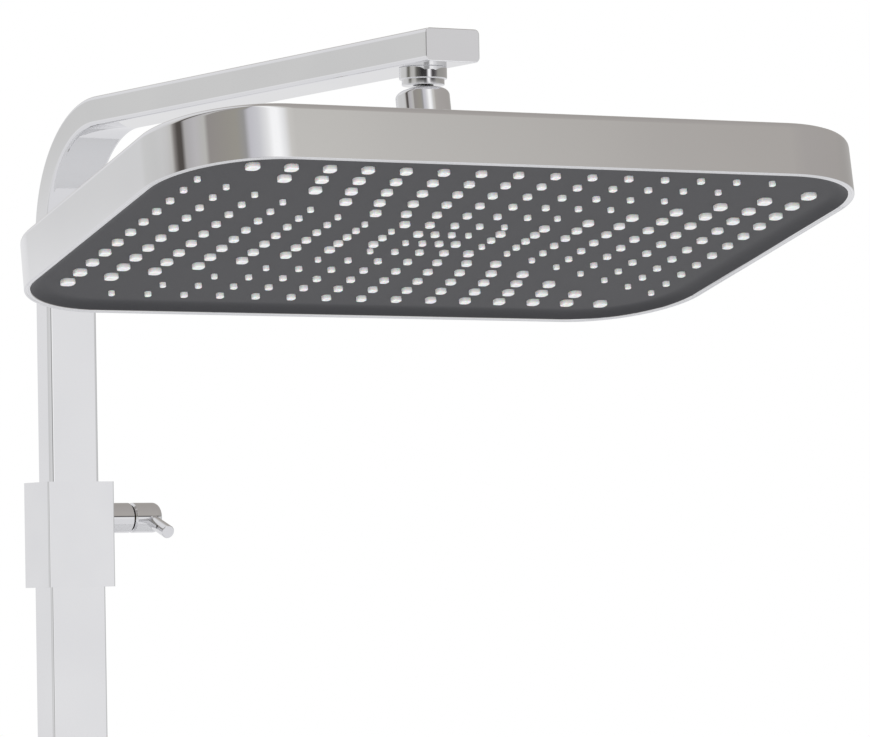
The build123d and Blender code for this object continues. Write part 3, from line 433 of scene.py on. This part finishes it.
head_up = np.array(joints["head_turn"]["axis"], float)
lean_way = np.array(joints["head_lean"]["axis"], float)
head_turn = math.radians(-5.6)
level_way = np.cross(lean_way, head_up)
head_axes = np.array([math.cos(head_turn) * level_way + math.sin(head_turn) * lean_way,
                      math.cos(head_turn) * lean_way - math.sin(head_turn) * level_way, head_up])
nut_radius, nut_top, nut_foot, cup_radius, cup_rim = 11.9, 6.55, -14.0, 9.75, -3.5
nut_opening, thread_bore = 7.3, 10.3
hollow = np.linspace(math.asin(nut_top / cup_radius), math.asin(cup_rim / cup_radius), 21)
shell = softened([(thread_bore, nut_foot), (nut_radius, nut_foot), (nut_radius, nut_top),
                  (nut_opening, nut_top)], [0.1, 0.3, 2.2, 0.1], closed=False, steps=12)
nut = around(np.concatenate([shell[:, 0], cup_radius * np.cos(hollow), [thread_bore]]),
             np.concatenate([shell[:, 1], cup_radius * np.sin(hollow), [cup_rim]]))
piece("nut", placed(nut, ball, head_axes), chrome_on_turning, "head", ["socket_nut"],
      closed=True)

base_foot, base_seat, passage, nipple_hole, thread_crest, bowl_radius = -30.0, -20.0, 4.0, 9.2, 10.2, 9.15
dish = np.linspace(math.asin(cup_rim / cup_radius), -math.acos(passage / cup_radius), 17)
post = softened([(nipple_hole, base_foot), (nut_radius, base_foot), (nut_radius, nut_foot),
                 (thread_crest, nut_foot), (thread_crest, cup_rim), (bowl_radius, cup_rim)],
                [0.1, 0.4, 0.3, 0.1, 0.1, 0.1], closed=False)
base = around(np.concatenate([post[:, 0], cup_radius * np.cos(dish), [passage, nipple_hole]]),
              np.concatenate([post[:, 1], cup_radius * np.sin(dish), [base_seat, base_seat]]))
piece("socket", placed(base, ball, head_axes), chrome_on_turning, "head",
      ["socket_base"], closed=True)


# ---- Hub cover ------------------------------------------------------------------------------
# A spun brass ring that hides the lock nut on top of the head, chromed with it.

head_top, hub_top, hub_wall, hub_fold, hub_foot_radius, hub_hole = -39.1, -30.9, 1.2, 0.8, 22.0, 12.3
hub_shoulder, hub_flat = 16.7, 15.5
hub = turned([(hub_foot_radius - hub_wall, head_top), (hub_foot_radius, head_top),
              (hub_shoulder, hub_top - hub_fold), (hub_flat, hub_top), (hub_hole, hub_top),
              (hub_hole, hub_top - hub_wall), (hub_flat, hub_top - hub_wall)],
             [0.1, 0.3, 0.8, 0.8, 0.3, 0.2, 0.5], steps=96)
piece("hub_ring", placed(hub, ball, head_axes), chrome_on_sheet, "head",
      ["hub_cover"], closed=True)


# ---- Head casing and its rim ----------------------------------------------------------------
# One deep-drawn stainless pressing with a plain upright wall, folded over at the top with a small
# radius, polished and chromed. A bright rim is pressed into its lower edge and frames the face.

chrome_on_pressing = chromed("chrome_plate_on_deep_drawn_steel", 60, 0.004)
head_long, head_wide, head_corner, head_foot = 326.0, 232.0, 48.5, -62.9
skin, inner_fold, cut_edge, top_fold, rim, rim_top = 1.2, 2.0, 0.55, 3.0, 1.4, -54.9
frame_long, frame_wide, frame_corner = head_long - 2 * skin, head_wide - 2 * skin, head_corner - skin
casing = np.vstack([
    [(frame_long - 2 * inner_fold, frame_wide - 2 * inner_fold, frame_corner - inner_fold, head_top - skin),
     (frame_long, frame_wide, frame_corner, head_top - skin - inner_fold),
     (frame_long, frame_wide, frame_corner, head_foot + 0.4)],
    edge(head_long, head_wide, head_corner, head_foot, cut_edge, -1),
    edge(head_long, head_wide, head_corner, head_top, top_fold, 1)])
piece("casing", placed(rings(casing, 33), ball, head_axes), chrome_on_pressing, "head",
      ["head_casing"])

# The rim's lower edge is half an ellipse from its inner face to its outer one.
lip = 0.6
swing = np.linspace(0, np.pi, 9)
lip_inset = rim / 2 + np.cos(swing) * rim / 2
rim_rows = np.vstack([
    [(frame_long - 2 * rim, frame_wide - 2 * rim, frame_corner - rim, rim_top)],
    np.column_stack([frame_long - 2 * lip_inset, frame_wide - 2 * lip_inset, frame_corner - lip_inset,
                     head_foot + lip * (1 - np.sin(swing))]),
    [(frame_long, frame_wide, frame_corner, rim_top)]])
piece("bright_rim", placed(rings(rim_rows, 33), ball, head_axes), chrome_on_sheet, "head",
      ["rim_trim"], closed=True)


# ---- Spray face -----------------------------------------------------------------------------
# An injection-moulded ABS plate in dark grey that curves down to meet the rim. A spark-eroded
# texture takes the shine off it, and it has a rounded square hole for each of the 246 nozzles.

row_counts, column_counts = [4, 5, 7, 9, 11, 13, 15], [3, 5, 6, 7, 8, 9, 10, 11]
small_side, large_side, side_step = 2.6, 4.0, 0.3
# Rows lie along the head and columns across it. They fill two of the four wedges of the face, and
# half a turn about the middle fills the others. Each line is longer than the one inside it.
inner_row, inner_reach, row_start, row_gap = 6.7, 12.0, 20.3, 14.7
row_left, row_left_step, row_right, row_right_step = 24.35, 20.15, 22.9, 18.5
column_start, column_gap, column_low, column_low_step = 25.85, 16.55, 9.4, 9.28
column_high, column_high_step = 10.0, 9.73


def nozzle_line(first, last, count, sides):
    """Nozzles (x, y, side) from first to last, evenly spaced, with sides that change evenly."""
    share = np.linspace(0, 1, count)[:, None]
    return np.hstack([np.array(first) * (1 - share) + np.array(last) * share,
                      sides[0] * (1 - share) + sides[1] * share])


lines = []
for ring, count in enumerate(row_counts):
    out = max(ring - 1, 0)
    y = -(row_start + row_gap * out) if ring else -inner_row
    left = -(row_left + row_left_step * out) if ring else -inner_reach
    right = row_right + row_right_step * out if ring else inner_reach
    lines.append(nozzle_line((left, y), (right, y), count, (large_side + side_step * ring, small_side)))
for ring, count in enumerate(column_counts):
    x = -(column_start + column_gap * ring)
    lines.append(nozzle_line((x, -(column_low + column_low_step * ring)),
                             (x, column_high + column_high_step * ring), count,
                             (small_side, large_side + side_step * ring)))
half_face = np.vstack(lines)
nozzles = np.vstack([half_face, half_face * [-1, -1, 1]])

face, plate_top, mat_top, plate_drop, ledge = -59.2, -56.7, -55.1, 3.1, 7.15
plate_room, plate_edge, cove_width, cove_power = 0.1, 0.2, 8.0, 2.6
plate_long, plate_wide = (size - 2 * (rim + plate_room) for size in (frame_long, frame_wide))
plate_corner = frame_corner - rim - plate_room


def inset_rows(inset, height):
    """Rows of the plate's outline, each drawn in by an inset and at a height of its own."""
    return np.column_stack([plate_long - 2 * np.array(inset), plate_wide - 2 * np.array(inset),
                            plate_corner - np.array(inset), height])


# From the flat face the cove drops to the rim by a power of the way out. The plate's upright edge
# and the ledge that the water chamber stands on follow.
share = np.linspace(0, 1, 13)
cove = inset_rows(cove_width + (plate_edge - cove_width) * share, face - plate_drop * share ** cove_power)
back = inset_rows([0, 0, ledge, ledge], [face - plate_drop + plate_edge, mat_top, mat_top, plate_top])
face_rows = rings(np.vstack([cove, back]), 17)
spray_face = piece("spray_face", placed(face_rows, ball, head_axes), None, "head",
                   ["spray_plate"])

# A punch with 246 rounded square prisms makes the nozzles' holes.
nib_points, nib_corner, hole_room, past = 12, 0.3, 0.3, 2.0
hole_side = nozzles[:, 2] + hole_room
holes = outline(hole_side, hole_side, nib_corner * hole_side, 3) + nozzles[:, None, :2]
punch = np.stack([np.dstack([holes, np.full(holes.shape[:2], height)])
                  for height in (face - past, mat_top + past)], 1)
start, loop = (np.arange(len(nozzles)) * 2 * nib_points)[:, None], np.arange(nib_points)
cutter = bpy.data.meshes.new("punch")
cutter.from_pydata(placed(punch.reshape(-1, 3), ball, head_axes).tolist(), [],
                   (start[:, :, None] + skin_quads(2, nib_points)).reshape(-1, 4).tolist()
                   + (start + loop[::-1]).tolist() + (start + nib_points + loop).tolist())
tool = bpy.data.objects.new("punch", cutter)
bpy.context.scene.collection.objects.link(tool)
punched = spray_face.modifiers.new("punched", "BOOLEAN")
punched.object, punched.solver = tool, "EXACT"
weighted = spray_face.modifiers["weighted"]
weighted.show_viewport = False
plain = spray_face.data
cut_through = spray_face.evaluated_get(bpy.context.evaluated_depsgraph_get())
spray_face.data = bpy.data.meshes.new_from_object(cut_through)
spray_face.modifiers.remove(punched)
weighted.show_viewport = True
bpy.data.objects.remove(tool)
bpy.data.meshes.remove(plain)

# Grey ABS from a spark-eroded mould: a soft sheen, broken by a grain drawn coarse enough to show.
grey_abs, tree, shader, place = new_surface("spark_textured_grey_abs", IOR=1.53, Specular_IOR_Level=0.3)
mottled(tree, shader, place, 0.9, "3E3E40", "47474A", (0.5, 0.62), 0.012)
spray_face.data.materials.clear()
spray_face.data.materials.append(grey_abs)


# ---- Nozzles --------------------------------------------------------------------------------
# One mat of white silicone rubber carries every nozzle. They stand 2 mm out of the plate, each
# with a round-cornered rim and a small jet hole, and their sizes grow along each line.

# Silicone rubber: light goes a little way in, and the moulded skin has a dry, even sheen.
silicone, tree, shader, place = new_surface("white_silicone_rubber", IOR=1.41, Subsurface_Weight=0.25,
                                            Subsurface_Scale=0.0015)
mottled(tree, shader, place, 3, "F1F1F0", "F8F8F7", (0.42, 0.55), 0.01)
stand_out, root = 2.0, -57.0
jet, jet_depth, brow = 0.8, 0.7, 0.4
# Each nozzle is six loops: root, rim, shoulder, crown, jet mouth and jet floor.
side = nozzles[:, 2:3]
loop_side = np.hstack([side, side, side - brow * 0.6, side - 2 * brow, 0 * side + jet, 0 * side + jet * 0.8])
crown = face - stand_out
loop_height = np.array([root, crown + brow, crown + brow * 0.3, crown, crown, crown + jet_depth])
loop_corner = loop_side * ([nib_corner] * 4 + [0.49] * 2)
loops = outline(loop_side.ravel(), loop_side.ravel(), loop_corner.ravel(), 3)
loops = loops.reshape(len(side), 6, nib_points, 2) + nozzles[:, None, None, :2]
nibs = np.concatenate([loops, np.broadcast_to(loop_height[:, None, None], loops.shape[:3] + (1,))], -1)
start = (np.arange(len(side)) * 6 * nib_points)[:, None]
nib_quads = (start[:, :, None] + skin_quads(6, nib_points)[:, ::-1]).reshape(-1, 4)
nib_floors, nib_roots = start + 5 * nib_points + loop[::-1], start + loop

mat_long, mat_wide, mat_corner, mat_edge = 306.4, 212.4, 38.7, 0.7
mat_low = root + 0.3
drawn_in = (mat_long - 2 * mat_edge, mat_wide - 2 * mat_edge, mat_corner - mat_edge)
mat_rows = rings([(*drawn_in, mat_low), (mat_long, mat_wide, mat_corner, mat_low),
                  (mat_long, mat_wide, mat_corner, mat_top), (*drawn_in, mat_top)], 9)
shift, across = nibs.size // 3, mat_rows.shape[1]
mat_loop = np.arange(across) + shift
points = np.vstack([nibs.reshape(-1, 3), mat_rows.reshape(-1, 3)])
mesh = bpy.data.meshes.new("nozzle_mat")
mesh.from_pydata(placed(points, ball, head_axes).tolist(), [],
                 nib_quads.tolist() + nib_floors.tolist() + nib_roots.tolist()
                 + (skin_quads(4, across) + shift).tolist()
                 + [mat_loop[::-1].tolist(), (mat_loop + 3 * across).tolist()])
finish_piece("nozzle_mat", mesh, silicone, "head", ["silicone_mat"])


# ---- Water chamber --------------------------------------------------------------------------
# A moulded ABS cover behind the plate, held by twelve small screws. It carries the nipple, with a
# washer, a filter screen of stainless steel and a flow restrictor in it.

# White ABS from a polished mould: smooth, with a slow drift of the gloss.
abs_white, tree, shader, place = new_surface("moulded_white_abs", IOR=1.53)
mottled(tree, shader, place, 12, "E4E3DE", "EEEDE9", (0.25, 0.34), 0.006)
finish_nodes(abs_white, "chamber_cover")

# Stainless wire cloth: its half-millimetre mesh breaks the shine into small points.
screen, tree, shader, place = new_surface("woven_stainless_screen", Metallic=1.0)
mottled(tree, shader, place, 0.5, "A8A7A4", "C6C5C2", (0.3, 0.45), 0.02)
finish_nodes(screen, "inlet_filter")


# ---- Studio ---------------------------------------------------------------------------------
# A pale floor at the height of the shower tray, in a white room. The mirror finish shows only what
# stands round it: a white wall at the left with a narrow dark gap, grey flags and the dark of the
# camera's side in front, one tall bright window beside it, and a warm grey wall at the right.

camera_place = np.array([-1.1361, -2.3059, 0.1341])
heading, climb_angle, roll = math.radians(31.114), math.radians(2.58), math.radians(-1.071)
ahead = np.array([math.sin(heading) * math.cos(climb_angle), math.cos(heading) * math.cos(climb_angle),
                  math.sin(climb_angle)])
level = np.array([math.cos(heading), -math.sin(heading), 0.0])
upright = np.cross(level, ahead)
right = level * math.cos(roll) + upright * math.sin(roll)
above = -level * math.sin(roll) + upright * math.cos(roll)


def stood(name, data, place, right, above, back):
    """A camera or a lamp at a place, with its own right, up and backward directions."""
    holder = bpy.data.objects.new(name, data)
    bpy.context.scene.collection.objects.link(holder)
    holder.matrix_world = Matrix(np.vstack([np.stack([right, above, back, place], 1), [0, 0, 0, 1]]).tolist())
    return holder


camera = stood("camera", bpy.data.cameras.new("camera"), camera_place, right, above, -ahead)
camera.data.lens, camera.data.shift_x, camera.data.shift_y = 211.543448, -0.030114943, 0.001264368
camera.data.clip_end = 100
bpy.context.scene.camera = camera

floor_height, floor_radius, floor_steps = -1.8, 2.2, 96
turn = np.linspace(0, 2 * np.pi, floor_steps, endpoint=False)
disc = bpy.data.meshes.new("floor")
disc.from_pydata(np.stack([floor_radius * np.cos(turn), floor_radius * np.sin(turn),
                           np.full(floor_steps, floor_height)], -1).tolist(), [], [list(range(floor_steps))])
# Matt floor paint, faintly uneven as a roller leaves it.
pale, tree, shader, place = new_surface("pale_floor_paint")
mottled(tree, shader, place, 40, "E9EBEF", "EFF1F4", (0.6, 0.75))
disc.materials.append(pale)
floor = bpy.data.objects.new("floor", disc)
bpy.context.scene.collection.objects.link(floor)

bpy.context.scene.view_settings.view_transform = "Standard"
world = bpy.data.worlds.new("studio")
bpy.context.scene.world = world
world.use_nodes = True
tree = world.node_tree
tree.nodes.clear()
toward = add_node(tree, "ShaderNodeTexCoord").outputs["Generated"]
front = add_node(tree, "ShaderNodeVectorMath", {0: toward, 1: (-math.sin(heading), -math.cos(heading), 0)},
                 operation="DOT_PRODUCT").outputs["Value"]
aside = add_node(tree, "ShaderNodeVectorMath", {0: toward, 1: tuple(level)},
                 operation="DOT_PRODUCT").outputs["Value"]
bearing = add_node(tree, "ShaderNodeMath", {0: aside, 1: front}, operation="ARCTAN2").outputs[0]
place_on_wall = add_node(tree, "ShaderNodeMapRange",
                         {"Value": bearing, "From Min": -math.pi, "From Max": math.pi}).outputs["Result"]


def wall_tones(stops):
    """A ramp of greys round the room. Each stop is a bearing in degrees, 0 behind the camera and
    positive to its right, and the tone that the mirror finish shows there."""
    ramp = add_node(tree, "ShaderNodeValToRGB", {"Fac": place_on_wall})
    band = ramp.color_ramp.elements
    while len(band) < len(stops):
        band.new(0.5)
    for mark, (degrees, tone) in zip(band, stops):
        mark.position = (degrees + 180) / 360
        mark.color = linear(tone)
    return ramp.outputs["Color"]


waist_level = wall_tones([
    (-180, "D0D0D1"), (-150, "D8D8D9"), (-112, "D9D9DA"), (-90, "C4C4C4"), (-45, "CACACA"), (2, "D0D0D0"),
    (9, "989898"), (28, "989898"), (36, "F2F2F2"), (50, "F2F2F2"), (55, "DDDDDE"), (62, "DDDDDE"),
    (75, "C8C8C8"), (140, "B4B4B4"), (180, "D0D0D1")])
eye_level = wall_tones([
    (-180, "A8A6A4"), (-165, "C8C8C8"), (-150, "D4D4D6"), (-124, "C6C6C5"), (-96, "C2C2C1"), (-89, "B8B8B7"),
    (-83, "969593"), (-78, "6B6A66"), (-71, "66655F"), (-65, "8E8D89"), (-60, "AFAEAA"), (-44, "B5B4B1"),
    (-39, "A1A09C"), (-34, "7A7975"), (-28, "5A5955"), (-18, "4C4B49"), (-5, "302E2F"),
    (14, "3C3A3B"), (18, "5A5859"), (23, "BAB8BB"), (27, "F2F2F2"), (33, "F4F4F4"), (38, "C6C4C7"),
    (43, "6A6869"), (48, "413F40"), (57, "4E4C4D"), (66, "6C6A6B"), (72, "84827F"),
    (78, "908F8B"), (142, "9C9996"), (180, "A8A6A4")])
overhead = wall_tones([
    (-180, "9C9894"), (-165, "B8B6B4"), (-150, "D6D6D8"), (-110, "D4D4D5"), (-88, "C6C5C4"), (-83, "BEBDBA"),
    (-79, "827E7B"), (-75, "504C49"), (-70, "4E4A47"), (-66, "A8A6A5"), (-63, "ACAAAB"), (-55, "B5B3B4"),
    (-45, "B4B3AF"), (-41, "8E8A87"), (-12, "949189"), (-3, "929190"), (2, "BBBABF"), (12, "C6C6C9"),
    (21, "DEDEDE"), (27, "F4F4F4"), (33, "F4F4F4"), (40, "DEDEDE"), (46, "C4C2BE"), (52, "BEBCB8"),
    (58, "A6A29E"), (75, "A29E9B"), (180, "9C9894")])
height = add_node(tree, "ShaderNodeSeparateXYZ", {"Vector": toward}).outputs["Z"]


def zone(low, high, first, last):
    """Blends from one set of tones to another between two angles above the horizon, in degrees."""
    share = add_node(tree, "ShaderNodeMapRange",
                     {"Value": height, "From Min": math.sin(math.radians(low)),
                      "From Max": math.sin(math.radians(high))}, interpolation_type="SMOOTHSTEP")
    blend = add_node(tree, "ShaderNodeMix", {0: share.outputs["Result"], "A": first, "B": last},
                     data_type="RGBA")
    return blend.outputs["Result"]


floor_tone = linear("D5D5D7")
room = zone(-12, -6, floor_tone, zone(3.6, 5.4, waist_level, zone(9, 15, eye_level, overhead)))
seen = add_node(tree, "ShaderNodeLightPath").outputs["Is Camera Ray"]
reflected = add_node(tree, "ShaderNodeBackground", {"Color": room, "Strength": 1.28})
behind = add_node(tree, "ShaderNodeBackground", {"Color": (1, 1, 1, 1), "Strength": 1.0})
either = add_node(tree, "ShaderNodeMixShader", {0: seen, 1: reflected.outputs[0], 2: behind.outputs[0]})
add_node(tree, "ShaderNodeOutputWorld", {"Surface": either.outputs[0]})


def softbox(name, place, aim, width, height, watts, only, mirrored=True):
    """An area lamp at a place, facing another, that lights only the pieces it is given. One that is
    not mirrored gives light but does not show in the mirror finish."""
    lamp = bpy.data.lights.new(name, "AREA")
    lamp.shape, lamp.size, lamp.size_y, lamp.energy = "RECTANGLE", width, height, watts
    place = np.array(place, float)
    back = place - aim
    back /= np.linalg.norm(back)
    side = np.cross([0, 0, 1.0], back)
    side /= np.linalg.norm(side)
    holder = stood(name, lamp, place, side, np.cross(back, side), back)
    lit = bpy.data.collections.new(name + "_lights")
    for each in only:
        lit.objects.link(bpy.data.objects[each])
    holder.light_linking.receiver_collection = lit
    holder.visible_glossy = mirrored


# The panel brightens the arm's end, the second lamp whitens the floor, and the third the nozzles.
softbox("panel_for_the_arm", (1.13, -2.3, 0.15), (0.0, -0.06, 0.15), 0.5, 1.4, 1.3, ["arm_cap"])
softbox("floor_light", (0.0, -0.5, 3.5), (0.01, -0.5, -1.8), 4.0, 4.0, 115, ["floor"], mirrored=False)
softbox("nozzle_light", (-0.95, -1.95, -0.1), (0.0, -0.4, 0.3), 1.2, 1.2, 14, ["nozzle_mat"],
        mirrored=False)
# The head is kept out of the mirror finish of the column, so that it lies clean against the white.
for each in ("casing", "bright_rim", "hub_ring", "spray_face", "nozzle_mat", "chamber_cover",
             "plate_screws", "head_inlet", "head_lock_nut", "inlet_washer", "inlet_filter",
             "flow_restrictor"):
    bpy.data.objects[each].visible_glossy = False
